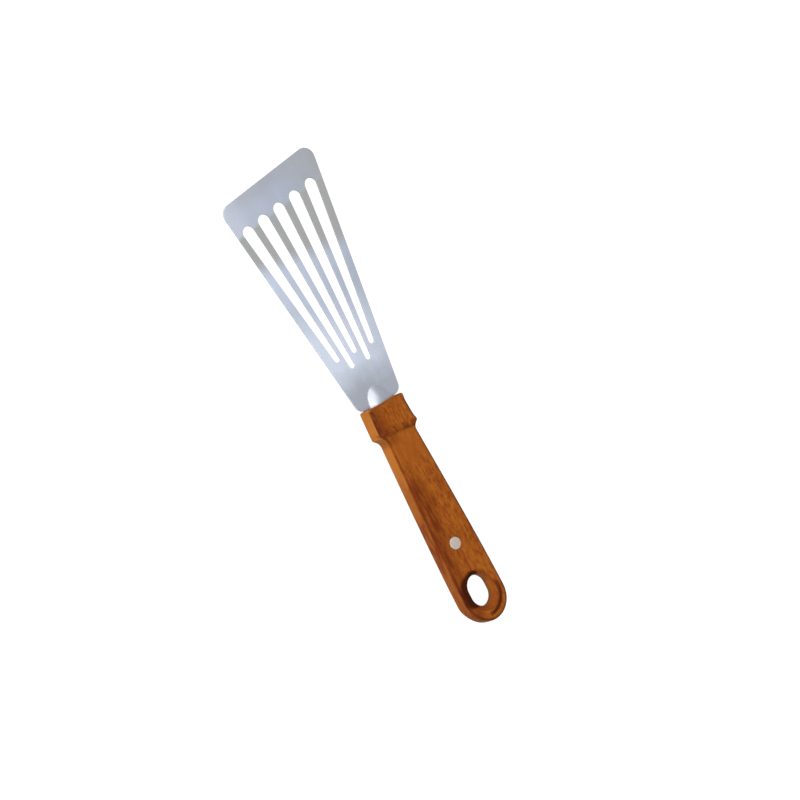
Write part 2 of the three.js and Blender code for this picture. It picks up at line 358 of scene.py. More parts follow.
# %% Press the bead into the neck
BEAD_HALF = 8.5 * MM
BEAD_HEIGHT = 3.0 * MM
BEAD_NOSE = 12.2 * MM
BEAD_TAIL = 34.0 * MM
BEAD_FULLNESS = 1.15
GRID_STEP = 0.4 * MM
HIDDEN_STEP = 2.0 * MM
BEAD_MARGIN = 0.6 * MM
bead_front = collar_face + BEAD_NOSE + BEAD_MARGIN
bead_rear = collar_face - BEAD_TAIL - BEAD_NOSE - BEAD_MARGIN
bead_side = BEAD_HALF + BEAD_MARGIN


def bead_rise(x, y):
    """Height of the bead over the sheet, highest along its middle and falling to its foot all round."""
    past_end = max(x - collar_face, collar_face - BEAD_TAIL - x, 0.0)
    reach = math.hypot(past_end / BEAD_NOSE, y / BEAD_HALF)
    return BEAD_HEIGHT * max(1 - reach * reach, 0.0) ** BEAD_FULLNESS


def cut_across(shape, axis, place):
    """Cuts the faces near the bead along a plane."""
    normal = Vector((0, 0, 0))
    normal[axis] = 1
    faces = [f for f in shape.faces if bead_rear <= f.calc_center_median().x <= bead_front]
    edges = {e for f in faces for e in f.edges}
    bmesh.ops.bisect_plane(shape, geom=[*faces, *edges], plane_co=normal * place, plane_no=normal)


for place in (bead_front, bead_rear):
    bmesh.ops.bisect_plane(
        blade, geom=[*blade.faces, *blade.edges], plane_co=(place, 0, 0), plane_no=(1, 0, 0)
    )
steps_across = round(2 * bead_side / GRID_STEP)
for i in range(steps_across + 1):
    cut_across(blade, 1, -bead_side + i * 2 * bead_side / steps_across)
seen_rear = collar_face - HIDDEN_STEP
place = bead_front
while place > bead_rear:
    place -= GRID_STEP if place > seen_rear else HIDDEN_STEP
    cut_across(blade, 0, place)
for vertex in blade.verts:
    vertex.co.z += bead_rise(vertex.co.x, vertex.co.y)
print(f"bead {2 * BEAD_HALF / MM:.0f} mm wide and {BEAD_HEIGHT / MM:.0f} mm high")

# %% [markdown]
# The rivet passes through a hole in the tang, with a little room to spare. The hole is cut as a drill would
# cut it, with a round bar, once the sheet has been pressed.

# %% Drill the tang and finish the blade
RIVET_STEPS = 64
SLEEVE_RADIUS = 3.0 * MM


def round_bar(radius, low, high):
    """A round bar on the rivet's axis, between two heights over the middle plane."""
    return turn_round([(0, low), (radius, low), (radius, high), (0, high)], rivet_axis, RIVET_STEPS)


steel_blade = new_object("steel_blade", blade)
carve(steel_blade, round_bar(SLEEVE_RADIUS + CLEARANCE, -2 * SHEET, 2 * SHEET))
finish_piece(steel_blade, "blade")

# %% [markdown]
# The handle is one piece of wood: a square collar, a cove on each side and a grip that swells to a round
# end. Half of its plan is drawn with the pen and mirrored, and the whole plan is filled as one face, so
# that nothing on the flat top gets in the way of the rounding later. The outline goes in short steps that
# hardly turn, which lets the rounding change its radius from one step to the next.

# %% Draw the plan of the handle
COLLAR_LENGTH = 19.0 * MM
COLLAR_TAPER = 1.0 * MM
COLLAR_LIP = 2.75 * MM
COLLAR_CORNER = 1.5 * MM
COVE_RADIUS = 6.5 * MM
GRIP_NECK_HALF = 11.9 * MM
GRIP_END_HALF = 16.1 * MM
GRIP_SWELL_REACH = 79.0 * MM
GRIP_END_LENGTH = 17.0 * MM
COLLAR_STEPS = 20
COVE_STEPS = 32
GRIP_STEPS = 60
END_STEPS = 60
collar_rear = collar_face - COLLAR_LENGTH
collar_half = GRIP_NECK_HALF + COLLAR_LIP
cove_reach = COVE_RADIUS + COLLAR_CORNER
cove_turn = math.acos(1 - COLLAR_LIP / cove_reach)
cove_end = collar_rear - cove_reach * math.sin(cove_turn)
end_centre = handle_tip + GRIP_END_LENGTH

handle = bmesh.new()
corner_y = collar_half - COLLAR_TAPER - COLLAR_CORNER
pen = Pen(handle, collar_face, 0, middle)
pen.line(collar_face, corner_y)
pen.arc(collar_face - COLLAR_CORNER, corner_y, math.pi / 2)
side_start = pen.vertex.co.xy
side_end = Vector((collar_rear, collar_half))
for i in range(1, COLLAR_STEPS + 1):
    pen.line(*side_start.lerp(side_end, i / COLLAR_STEPS))
pen.arc(collar_rear, collar_half - COLLAR_CORNER, cove_turn, COVE_STEPS)
pen.arc(cove_end, GRIP_NECK_HALF + COVE_RADIUS, -cove_turn, COVE_STEPS)
grip_start = Vector((cove_end, GRIP_NECK_HALF))
grip_pull = Vector((cove_end - GRIP_SWELL_REACH, GRIP_END_HALF))
grip_end = Vector((end_centre, GRIP_END_HALF))
for i in range(1, GRIP_STEPS + 1):
    share = i / GRIP_STEPS
    pen.line(*grip_start.lerp(grip_pull, share).lerp(grip_pull.lerp(grip_end, share), share))
for i in range(1, END_STEPS + 1):
    angle = math.pi / 2 * i / END_STEPS
    pen.line(end_centre - GRIP_END_LENGTH * math.sin(angle), GRIP_END_HALF * math.cos(angle))
bmesh.ops.mirror(handle, geom=[*handle.verts, *handle.edges], axis="Y", merge_dist=MERGE)
bmesh.ops.remove_doubles(handle, verts=handle.verts[:], dist=MERGE)
bmesh.ops.contextual_create(handle, geom=handle.edges[:])
print(f"plan of the handle: {len(handle.edges)} edges, cove ends at {cove_end / MM:.1f} mm")

# %% [markdown]
# All the edges are rounded in one go. A Bevel modifier that follows bevel weights gives each edge its own
# radius: small at the corners of the collar, larger along its top and along the grip, and largest under the
# end of the grip, where the hand wears it.

# %% Lift the plan and round every edge by its own radius
COLLAR_THICKNESS = 15.0 * MM
GRIP_THICKNESS = 13.0 * MM
CORNER_EDGE = 1.3 * MM
COLLAR_TOP_EDGE = 2.8 * MM
GRIP_EDGE = 2.8 * MM
END_UNDER_EDGE = 5.2 * MM
UNDER_EDGE_RATE = 1.4
EDGE_CHANGE = 4.5 * MM
ROUND_STEPS = 10


def smooth_step(share):
    share = min(max(share, 0.0), 1.0)
    return share * share * (3 - 2 * share)


def edge_radius(x, on_top):
    """The radius of the handle's edge at a place along it."""
    radius = CORNER_EDGE
    if on_top:
        from_corner = min(collar_face - COLLAR_CORNER - x, x - collar_rear)
        radius += (COLLAR_TOP_EDGE - CORNER_EDGE) * smooth_step(from_corner / EDGE_CHANGE)
    radius += (GRIP_EDGE - CORNER_EDGE) * smooth_step((collar_rear - x) / (collar_rear - cove_end))
    if not on_top:
        into_end = (end_centre - x) / GRIP_END_LENGTH
        radius += (END_UNDER_EDGE - GRIP_EDGE) * smooth_step(into_end * UNDER_EDGE_RATE)
    return radius


lift(handle, GRIP_THICKNESS)
bmesh.ops.translate(handle, verts=handle.verts[:], vec=(0, 0, -GRIP_THICKNESS / 2))
weights = handle.edges.layers.float.new("bevel_weight_edge")
for edge in rim_edges(handle, GRIP_THICKNESS / 2):
    edge_middle = (edge.verts[0].co + edge.verts[1].co) / 2
    edge[weights] = edge_radius(edge_middle.x, edge_middle.z > middle) / END_UNDER_EDGE
wooden_handle = new_object("wooden_handle", handle)
rounding = wooden_handle.modifiers.new("rounding", "BEVEL")
rounding.limit_method = "WEIGHT"
rounding.width = END_UNDER_EDGE
rounding.segments = ROUND_STEPS
rounding.profile = ROUND_PROFILE
rounding.use_clamp_overlap = False
rounding.loop_slide = False
settle(wooden_handle)
print(f"rounded handle: {len(wooden_handle.data.vertices)} vertices")

# %% [markdown]
# The collar is a millimetre thicker than the grip on each face. Planes cut the rounded handle across in
# fine steps, and stretching everything ahead of the cuts gives the thickness, so that the step is a short
# soft slope. It runs very slightly askew, as a step shaped by hand does.

# %% Thicken the collar
STEP_START = collar_rear + 0.4 * MM
STEP_LENGTH = 4.2 * MM
STEP_SKEW = 0.07
STEP_CUTS = 10

stepped = bmesh.new()
stepped.from_mesh(wooden_handle.data)
for i in range(STEP_CUTS + 1):
    bmesh.ops.bisect_plane(
        stepped, geom=[*stepped.verts, *stepped.edges, *stepped.faces],
        plane_co=(STEP_START - STEP_LENGTH * i / STEP_CUTS, 0, 0), plane_no=(1, -STEP_SKEW, 0),
    )
for vertex in stepped.verts:
    down = smooth_step((STEP_START - vertex.co.x + STEP_SKEW * vertex.co.y) / STEP_LENGTH)
    stretch = 1 + (COLLAR_THICKNESS / GRIP_THICKNESS - 1) * (1 - down)
    vertex.co.z = middle + (vertex.co.z - middle) * stretch
heights = [vertex.co.z for vertex in stepped.verts]
stepped.to_mesh(wooden_handle.data)
stepped.free()
print(f"handle from {min(heights) / MM:.2f} to {max(heights) / MM:.2f} mm high")

# %% [markdown]
# The hang hole flares at both rims so that a hook finds its way in. Its cutter is a spool: a half profile
# with a quarter of an ellipse at each end, turned all the way round and then pulled apart into a slightly
# long hole. The flare stops a little short of level, so that it meets the flat of the grip in a clean line.

# %% Cut the hang hole
HOLE_HALF_WIDTH = 8.15 * MM
HOLE_STRAIGHT = 4.0 * MM
HOLE_SETBACK = 21.0 * MM
HOLE_RIM_WIDTH = 4.0 * MM
HOLE_RIM_DEPTH = 6.0 * MM
HOLE_STEPS = 96
RIM_STEPS = 10
FLARE_END = math.radians(80)
RUN_OUT = 0.3 * MM
hole_x = handle_tip + HOLE_SETBACK
waist_half = GRIP_THICKNESS / 2 - HOLE_RIM_DEPTH
flare = []
for i in range(RIM_STEPS + 1):
    angle = FLARE_END * i / RIM_STEPS
    radius = HOLE_HALF_WIDTH + HOLE_RIM_WIDTH * (1 - math.cos(angle))
    flare.append((radius, waist_half + HOLE_RIM_DEPTH * math.sin(angle)))
slope = HOLE_RIM_WIDTH / HOLE_RIM_DEPTH * math.tan(FLARE_END)
flare.append((flare[-1][0] + RUN_OUT * slope, flare[-1][1] + RUN_OUT))
flare.append((0, flare[-1][1]))
spool = [*((radius, -height) for radius, height in reversed(flare)), *flare]

hole = turn_round(spool, (hole_x, 0), HOLE_STEPS)
for side in (-1, 1):
    end = [v for v in hole.verts if side * (v.co.x - hole_x) > MERGE]
    bmesh.ops.translate(hole, verts=end, vec=(side * HOLE_STRAIGHT / 2, 0, 0))
carve(wooden_handle, hole)
print(f"hang hole at {hole_x / MM:.1f} mm, {2 * HOLE_HALF_WIDTH / MM:.0f} mm wide")

# %% [markdown]
# The tang sits in a blind mortise with a little room all round for the adhesive that beds it, and a rounded
# tunnel above it takes the bead. Both are cut after the rounding, as a joiner would, so that their edges
# stay crisp and show as a fine dark line round the bead.

# %% Cut the mortise
mortise = bmesh.new()
mortise_half = TANG_HALF + CLEARANCE
mortise_end = tang_end - CLEARANCE
mortise_mouth = collar_face + COLLAR_THICKNESS
mortise_radius = TANG_CORNER_RADIUS + CLEARANCE
draw_rounded(
    mortise,
    [
        (mortise_mouth, -mortise_half, CLEARANCE),
        (mortise_mouth, mortise_half, CLEARANCE),
        (mortise_end, mortise_half, mortise_radius),
        (mortise_end, -mortise_half, mortise_radius),
    ],
    sheet_under - CLEARANCE,
)
bmesh.ops.contextual_create(mortise, geom=mortise.edges[:])
lift(mortise, SHEET + 2 * CLEARANCE)
carve(wooden_handle, mortise)

tunnel = bmesh.new()
tunnel_half = BEAD_HALF + CLEARANCE
tunnel_height = SHEET / 2 + BEAD_HEIGHT + CLEARANCE
tunnel_end = collar_face - BEAD_TAIL - BEAD_NOSE
tunnel_length = mortise_mouth - tunnel_end
bmesh.ops.create_cone(
    tunnel, cap_ends=True, segments=RIVET_STEPS, radius1=tunnel_half, radius2=tunnel_half,
    depth=tunnel_length, matrix=Matrix.Rotation(math.pi / 2, 4, "Y"),
)
bmesh.ops.scale(tunnel, verts=tunnel.verts[:], vec=(1, 1, tunnel_height / tunnel_half))
bmesh.ops.bisect_plane(
    tunnel, geom=[*tunnel.verts, *tunnel.edges, *tunnel.faces],
    plane_co=(0, 0, 0), plane_no=(0, 0, 1), clear_inner=True,
)
bmesh.ops.holes_fill(tunnel, edges=tunnel.edges[:])
bmesh.ops.translate(tunnel, verts=tunnel.verts[:], vec=(tunnel_end + tunnel_length / 2, 0, middle))
bmesh.ops.recalc_face_normals(tunnel, faces=tunnel.faces[:])
carve(wooden_handle, tunnel)
print(f"mortise {(mortise_mouth - mortise_end - COLLAR_THICKNESS) / MM:.1f} mm deep")

# %% [markdown]
# The rivet sits in a bore with a counterbore at each end for its heads. Round bars cut them, on the axis
# that the frame gives, and the counterbore is a hair wider than the head, so that a fine dark ring shows
# round it.

# %% Bore the handle for the rivet and finish it
HEAD_RADIUS = 4.1 * MM
HEAD_THICKNESS = 1.6 * MM
HEAD_PROUD = 0.15 * MM
HEAD_GAP = 0.15 * MM
head_top = GRIP_THICKNESS / 2 + HEAD_PROUD
head_under = head_top - HEAD_THICKNESS

carve(wooden_handle, round_bar(SLEEVE_RADIUS + CLEARANCE, -COLLAR_THICKNESS, COLLAR_THICKNESS))
for side in (-1, 1):
    low, high = sorted((side * (head_under - CLEARANCE), side * COLLAR_THICKNESS))
    carve(wooden_handle, round_bar(HEAD_RADIUS + HEAD_GAP, low, high))
finish_piece(wooden_handle, "handle")

# %% [markdown]
# The rivet is two turned pieces: a pin with a head on top, and a sleeve with a head underneath that the pin
# is driven into. Each is a half profile that spin turns about the rivet's axis. The heads are very slightly
# crowned with eased rims, as a pressed rivet head is.

# %% Turn the two halves of the rivet
PIN_RADIUS = 1.6 * MM
HEAD_CROWN = 0.12 * MM
HEAD_EASE = 0.35 * MM
CROWN_STEPS = 6
sleeve_bore = PIN_RADIUS + CLEARANCE


def crowned_head(side):
    """The rounded rim and crowned face of a head, from its rim in to the axis."""
    points = [(HEAD_RADIUS, side * head_under)]
    for i in range(CROWN_STEPS + 1):
        angle = math.pi / 2 * i / CROWN_STEPS
        height = head_top - HEAD_CROWN - HEAD_EASE * (1 - math.sin(angle))
        points.append((HEAD_RADIUS - HEAD_EASE * (1 - math.cos(angle)), side * height))
    for i in range(1, CROWN_STEPS + 1):
        share = 1 - i / CROWN_STEPS
        points.append(((HEAD_RADIUS - HEAD_EASE) * share, side * (head_top - HEAD_CROWN * share * share)))
    return points


pin_tip = CLEARANCE - head_under
pin_profile = [(0, pin_tip), (PIN_RADIUS, pin_tip), (PIN_RADIUS, head_under), *crowned_head(1)]
sleeve_rim = head_under - CLEARANCE
sleeve_profile = [
    (0, -head_under),
    (sleeve_bore, -head_under),
    (sleeve_bore, sleeve_rim),
    (SLEEVE_RADIUS, sleeve_rim),
    (SLEEVE_RADIUS, -head_under),
    *crowned_head(-1),
]
for name, profile, node in (
    ("turned_rivet_pin", pin_profile, "rivet_pin"),
    ("turned_rivet_sleeve", sleeve_profile, "rivet_sleeve"),
):
    finish_piece(new_object(name, turn_round(profile, rivet_axis, RIVET_STEPS)), node)

# %% [markdown]
# A finish is a small network of shader nodes. Two classes keep it readable: Value wraps an output of a node
# so that sums can be written as Python expressions, and Finish makes a material and adds every other node
# through one method.

# %% Helpers for finishes
NOISE_ROUGHNESS = 0.55
NOISE_MIDDLE = 0.5


class Value:
    """An output of a shader node that takes part in Python sums."""

    def __init__(self, finish, socket):
        self.finish = finish
        self.socket = socket

    def __add__(self, other):
        return self.finish.sum("ADD", self, other)

    def __radd__(self, other):
        return self.finish.sum("ADD", other, self)

    def __sub__(self, other):
        return self.finish.sum("SUBTRACT", self, other)

    def __rsub__(self, other):
        return self.finish.sum("SUBTRACT", other, self)

    def __mul__(self, other):
        return self.finish.sum("MULTIPLY", self, other)

    def __rmul__(self, other):
        return self.finish.sum("MULTIPLY", other, self)

    def __truediv__(self, other):
        return self.finish.sum("DIVIDE", self, other)

    def __abs__(self):
        return self.finish.sum("ABSOLUTE", self, 0)

    def __pow__(self, other):
        return self.finish.sum("POWER", self, other)


class Finish:
    """A material, and the one method that adds nodes to it."""

    def __init__(self, name):
        self.material = bpy.data.materials.new(name)
        self.material.use_nodes = True
        self.tree = self.material.node_tree
        self.shader = self.tree.nodes["Principled BSDF"]
        place = self.node("ShaderNodeTexCoord", output="Object")
        self.place = self.node("ShaderNodeVectorMath", {"operation": "SCALE"}, {0: place, "Scale": 1 / MM})
        self.x, self.y, self.z = (self.axis(self.place, axis) for axis in "XYZ")
        facing = self.node("ShaderNodeNewGeometry", output="Normal")
        self.facing_z = self.axis(facing, "Z")

    def node(self, kind, settings=None, sockets=None, output=0):
        """Adds a node, sets it up, feeds its sockets and returns one of its outputs."""
        made = self.tree.nodes.new(kind)
        for name, value in (settings or {}).items():
            if name == "stops":
                self.set_stops(made.color_ramp, value)
            else:
                setattr(made, name, value)
        for name, value in (sockets or {}).items():
            self.feed(made.inputs[name], value)
        return Value(self, made.outputs[output])

    def feed(self, socket, value):
        if isinstance(value, Value):
            self.tree.links.new(value.socket, socket)
        else:
            socket.default_value = value

    def set_stops(self, ramp, stops):
        while len(ramp.elements) < len(stops):
            ramp.elements.new(1)
        for element, (position, colour) in zip(ramp.elements, stops):
            element.position = position
            element.color = colour

    def axis(self, vector, name):
        return self.node("ShaderNodeSeparateXYZ", {}, {0: vector}, output=name)

    def sum(self, operation, first, second):
        return self.node("ShaderNodeMath", {"operation": operation}, {0: first, 1: second})

    def rise(self, value, low, high):
        """Rises smoothly from 0 to 1 as a value goes from low to high."""
        return self.node(
            "ShaderNodeMapRange", {"interpolation_type": "SMOOTHSTEP"},
            {"Value": value, "From Min": low, "From Max": high},
        )

    def band(self, value, low, high, soft):
        """1 between low and high, falling softly to 0 outside."""
        return self.rise(value, low - soft, low + soft) * (1 - self.rise(value, high - soft, high + soft))

    def grain(self, size, detail, shift=(0, 0, 0)):
        """Noise from 0 to 1, with a size in millimetres along each axis."""
        scale = [1 / length for length in size]
        mapped = self.node("ShaderNodeMapping", {}, {"Vector": self.place, "Scale": scale, "Location": shift})
        return self.node(
            "ShaderNodeTexNoise", {},
            {"Vector": mapped, "Scale": 1.0, "Detail": detail, "Roughness": NOISE_ROUGHNESS},
        )

    def ramp(self, value, *stops):
        """A colour that changes with a value, through (value, colour) stops."""
        low, high = stops[0][0], stops[-1][0]
        spread = [((position - low) / (high - low), colour) for position, colour in stops]
        return self.node("ShaderNodeValToRGB", {"stops": spread}, {0: (value - low) / (high - low)})

    def scale(self, tone, gain):
        return self.node("ShaderNodeVectorMath", {"operation": "SCALE"}, {0: tone, "Scale": gain})

    def mix(self, share, first, second):
        return self.node("ShaderNodeMix", {"data_type": "RGBA"}, {0: share, 6: first, 7: second}, output=2)

    def bump(self, height, strength, distance):
        return self.node("ShaderNodeBump", {}, {"Height": height, "Strength": strength, "Distance": distance})

    def set(self, **sockets):
        for name, value in sockets.items():
            self.feed(self.shader.inputs[name.replace("_", " ").title().replace("Ior", "IOR")], value)

    def coat(self, *names):
        for name in names:
            materials = bpy.data.objects[name].data.materials
            materials.clear()
            materials.append(self.material)
        print(f"{self.material.name}: {len(self.tree.nodes)} nodes on {', '.join(names)}")


def centred(noise):
    """A noise that swings to both sides of 0."""
    return noise - NOISE_MIDDLE


def colour(red, green, blue):
    """A screen colour, from 0 to 255, as the linear colour that a shader takes."""
    parts = [part / 255 for part in (red, green, blue)]
    return (*(part / 12.92 if part <= 0.04045 else ((part + 0.055) / 1.055) ** 2.4 for part in parts), 1.0)


# %% [markdown]
# The blade is satin stainless steel: a soft, cool reflection rather than a mirror. Steel takes its tone
# from what it reflects, so a helper works out the base colour that shows as a given screen colour under
# this studio's glow. The tone drifts along the blade, from the grey of the neck to the pale blue of the
# bars, as a painted reflection of the surroundings, and faint clouds break it up.

# %% Satin steel
WORLD_GLOW = 0.8


def shown(red, green, blue):
    """The base colour of a metal that shows as a screen colour when it reflects the studio's glow."""
    return (*(min(part / WORLD_GLOW, 1.0) for part in colour(red, green, blue)[:3]), 1.0)


NECK_GREY = shown(159, 163, 172)
PALE_BLUE = shown(199, 206, 220)
MID_BLUE = shown(180, 188, 202)
BAR_BLUE = shown(186, 194, 210)
CLOUD_SIZE = (26, 14, 14)
CLOUD_DRIFT = 14
BRUSH_SIZE = (30, 0.25, 0.25)

steel = Finish("satin_sheet_steel")
reach = steel.x - collar_face / MM
behind_front = BLADE_REACH / MM - reach - SLANT_SLOPE * steel.y
across = steel.y / (NECK_HALF / MM + FLARE_SLOPE * reach)
cloud = steel.grain(CLOUD_SIZE, detail=3.0)
brushed = steel.grain(BRUSH_SIZE, detail=2.0)
# Painted reflection: the tone along the blade stands in for what the steel mirrors.
tone = steel.ramp(
    reach + centred(cloud) * CLOUD_DRIFT,
    (4, NECK_GREY), (13, NECK_GREY), (30, PALE_BLUE), (52, PALE_BLUE), (75, MID_BLUE), (95, BAR_BLUE),
)
print(f"tone along the steel: {len(steel.tree.nodes)} nodes")

# %% [markdown]
# The land at the front is painted greyer along its rim and towards its right side, the blade is painted
# lighter towards its left side, and the bars turn a neutral grey where they leave the land. All of these
# are painted reflections. They are masks of the place on the blade: the distance from the slanted front
# edge, and the share of the half width.

# %% Painted reflections on the front land and the bars
LAND_BLUE = shown(175, 181, 196)
LAND_GREY = shown(173, 176, 182)
REFLECTED_GREY = shown(166, 166, 166)
LAND_END = (20, 23.5)
LAND_BLUE_SPAN = (-0.9, -0.1)
LEFT_RIM = (0.55, 0.95)
LEFT_RIM_GREY = 0.4
LEFT_RIM_LIGHT = 0.12
FRONT_RIM = (1, 14)
FRONT_RIM_GREY = 0.6
FRONT_RIM_DIM = 0.06
SIDE_START = (10, 26)
SIDE_CHANGE = 0.11
CLOUD_CHANGE = 0.16
REFLECTED_GREY_START = (98, 112)
REFLECTED_GREY_SKEW = 0.12

# Painted reflections: the land's greys and blues, its lighter left rim and the lighter left side of the
# blade.
blue_share = steel.rise(across, *LAND_BLUE_SPAN)
left_rim = steel.rise(across, *LEFT_RIM)
front_rim = (1 - steel.rise(behind_front, *FRONT_RIM)) * (1 - left_rim) * blue_share
land = steel.mix(
    blue_share - front_rim * FRONT_RIM_GREY - left_rim * LEFT_RIM_GREY, LAND_GREY, LAND_BLUE
)
land = steel.scale(land, 1 - front_rim * FRONT_RIM_DIM + left_rim * LEFT_RIM_LIGHT)
past_land = steel.rise(behind_front, *LAND_END)
tone = steel.mix(1 - past_land, tone, land)
side_share = across * steel.rise(reach, *SIDE_START)
tone = steel.scale(tone, 1 + SIDE_CHANGE * side_share + centred(cloud) * CLOUD_CHANGE)
# Painted reflection: a neutral grey on the bars where they leave the land.
reflected_grey = steel.rise(reach - REFLECTED_GREY_SKEW * steel.y, *REFLECTED_GREY_START) * past_land
tone = steel.mix(reflected_grey, tone, REFLECTED_GREY)
print(f"with the land and the bars: {len(steel.tree.nodes)} nodes")

# %% [markdown]
# The faces are brushed metal, but the walls that the punch left are rough and catch no reflection. How far
# a surface leans tells them apart. At the neck a leaning surface is the side of the bead, which is as
# bright as the faces.

# %% Faces and punched walls
NECK_END = (13, 18)
NECK_LEAN = 0.3
FLAT_FACE = (0.88, 0.99)
WALL_SHARE = 0.36
WALL_ROUGHNESS = 0.7
FACE_ROUGHNESS = 0.28
NECK_ROUGHNESS = 0.11
BRUSH_ROUGHNESS = 0.08
CLOUD_ROUGHNESS = 0.06
BRUSH_STRENGTH = 0.04
BRUSH_DEPTH = 0.00002

neck = 1 - steel.rise(reach, *NECK_END)
face = steel.rise(abs(steel.facing_z) + neck * NECK_LEAN, *FLAT_FACE)
polish = WALL_ROUGHNESS - (WALL_ROUGHNESS - FACE_ROUGHNESS) * face + neck * NECK_ROUGHNESS
steel.set(
    base_color=steel.scale(tone, WALL_SHARE + (1 - WALL_SHARE) * face),
    metallic=face,
    roughness=polish + centred(brushed) * BRUSH_ROUGHNESS + centred(cloud) * CLOUD_ROUGHNESS,
    specular_ior_level=0.1,
    normal=steel.bump(brushed, BRUSH_STRENGTH, BRUSH_DEPTH),
)
steel.coat("steel_blade")

# %% [markdown]
# The handle is an oiled red-brown hardwood with a fine mottled figure: short soft flecks along the grain
# and no long stripes. Layers of stretched noise make it, from a broad figure down to the pores, and each
# has its own size along and across the grain. Behind the collar the wood is plainer.

# %% Oiled hardwood
WOOD_LIGHT = colour(144, 83, 27)
WOOD_MID = colour(127, 67, 20)
WOOD_DARK = colour(104, 49, 14)
# The dark heartwood tone, also used for painted shade in the cove, the step and the tip end of the hang hole.
HEARTWOOD_AND_SHADE = colour(90, 38, 11)
FIGURE_SIZE = (24, 8, 8)
FIGURE_WEIGHT = 0.26
BLOTCH_SIZE = (9, 4.5, 4.5)
BLOTCH_WEIGHT = 0.26
FLECK_SIZE = (4.4, 1.5, 1.5)
FLECK_WEIGHT = 0.48
PORE_SIZE = (2.4, 0.9, 0.9)
OPEN_PORE = (0.56, 0.72)
PORE_SHARE = 0.6
PLAIN_SPAN = (4, 24, 4)
PLAIN_SHARE = 0.6
PLAIN_TONE = 0.53

wood = Finish("oiled_hardwood")
behind_collar = collar_rear / MM - wood.x
figure = wood.grain(FIGURE_SIZE, detail=2.0)
blotch = wood.grain(BLOTCH_SIZE, detail=2.0, shift=(1, 6, 3))
fleck = wood.grain(FLECK_SIZE, detail=2.5, shift=(3, 1, 0))
pore = wood.grain(PORE_SIZE, detail=1.5, shift=(5, 2, 7))
plain = wood.band(behind_collar, *PLAIN_SPAN) * PLAIN_SHARE
pattern = fleck * FLECK_WEIGHT + figure * FIGURE_WEIGHT + blotch * BLOTCH_WEIGHT
pattern = pattern + (PLAIN_TONE - pattern) * plain
tone = wood.ramp(pattern, (0.36, WOOD_DARK), (0.5, WOOD_MID), (0.66, WOOD_LIGHT))
tone = wood.mix(wood.rise(pore, *OPEN_PORE) * PORE_SHARE * (1 - plain), tone, HEARTWOOD_AND_SHADE)
print(f"figure of the wood: {len(wood.tree.nodes)} nodes")

# %% [markdown]
# The sides of the handle are painted paler than its top, a painted sheen that stands in for the light on
# the lit side, and the heartwood is painted paler on the sides near the collar and near the tip for the
# same reason. One side of the board is heartwood, which darkens the left of the grip in soft streaks.
# Masks from the surface's own direction and place find these areas, and the noise of the figure makes
# their borders wander with the grain.

# %% Painted sheen on the sides, and heartwood on the left of the board
PAINTED_SIDE_SHEEN = colour(138, 86, 34)
PAINTED_SIDE_SHEEN_SHARE = 0.55
FACING_OUT = (0.1, 0.5)
FACING_UP = (0.75, 0.95)
FIGURE_WANDER = 8
FLECK_WANDER = 5
STAIN_SIZE = (12, 2.2, 2.2)
STAINED = (0.38, 0.6)
STAIN_LEAST = 0.62
STAIN_GAIN = 0.6
HEART_EDGE = (-1, 9)
HEART_START = (22, 42)
HEART_NARROWS = (62, 90)
HEART_NARROWING = 5
PALE_SIDE_END = (46, 64)
PALE_TIP = (93, 125, 6)
PALE_TIP_SHARE = 0.6
SIDE_PALING = 0.55

wander = centred(figure) * FIGURE_WANDER + centred(fleck) * FLECK_WANDER
side = 1 - wood.rise(wood.facing_z, *FACING_OUT)
on_top = wood.rise(wood.facing_z, *FACING_UP)
# Painted sheen: the sides are mixed towards a paler tone, standing in for the light on the lit side.
tone = wood.mix(side * PAINTED_SIDE_SHEEN_SHARE, tone, PAINTED_SIDE_SHEEN)
along = behind_collar + wander
narrowing = HEART_NARROWING * wood.rise(along, *HEART_NARROWS)
grip_heart = wood.rise(wood.y + wander - narrowing, *HEART_EDGE) * wood.rise(along, *HEART_START)
stain = wood.grain(STAIN_SIZE, detail=3.0, shift=(7, 3, 2))
grip_heart = grip_heart * (STAIN_LEAST + STAIN_GAIN * wood.rise(stain, *STAINED))
# Painted sheen: the heartwood is paled on the sides near the collar and near the tip.
paling = 1 - wood.rise(along, *PALE_SIDE_END) + wood.band(along, *PALE_TIP) * PALE_TIP_SHARE
grip_heart = grip_heart * (1 - side * SIDE_PALING * paling)
print(f"with the heartwood of the grip: {len(wood.tree.nodes)} nodes")

# %% [markdown]
# The heartwood goes on into the left of the collar, where its border is cut at another depth. The left of
# the cove behind it, and the top beside it, take painted shade in the same dark tone, where the cove turns
# away from the light. Each has a mask of its own, and all three are mixed in together.

# %% Heartwood of the collar, and painted shade in the cove
COLLAR_HEART_EDGE = (1, 13)
COLLAR_HEART_END = (-1, 3)
COLLAR_HEART_WANDER = 0.9
COVE_SHADE_EDGE = (1, 9)
COVE_SHADE_SPAN = (2.5, 8, 2)
COVE_SHADE_WANDER = 0.3
GRIP_HEART_SHARE = 0.85
COLLAR_HEART_SHARE = 0.7
COVE_SHADE_SHARE = 0.45

on_collar = 1 - wood.rise(behind_collar, *COLLAR_HEART_END)
collar_heart = wood.rise(wood.y + wander * COLLAR_HEART_WANDER, *COLLAR_HEART_EDGE) * on_collar * on_top
in_cove = wood.band(behind_collar, *COVE_SHADE_SPAN)
# Painted shade: the left of the cove is darkened where it faces away from the light.
cove_shade = wood.rise(wood.y + wander * COVE_SHADE_WANDER, *COVE_SHADE_EDGE) * in_cove
heart_and_shade = grip_heart * GRIP_HEART_SHARE + collar_heart * COLLAR_HEART_SHARE + cove_shade * COVE_SHADE_SHARE
tone = wood.mix(heart_and_shade, tone, HEARTWOOD_AND_SHADE)
print(f"with all the heartwood: {len(wood.tree.nodes)} nodes")

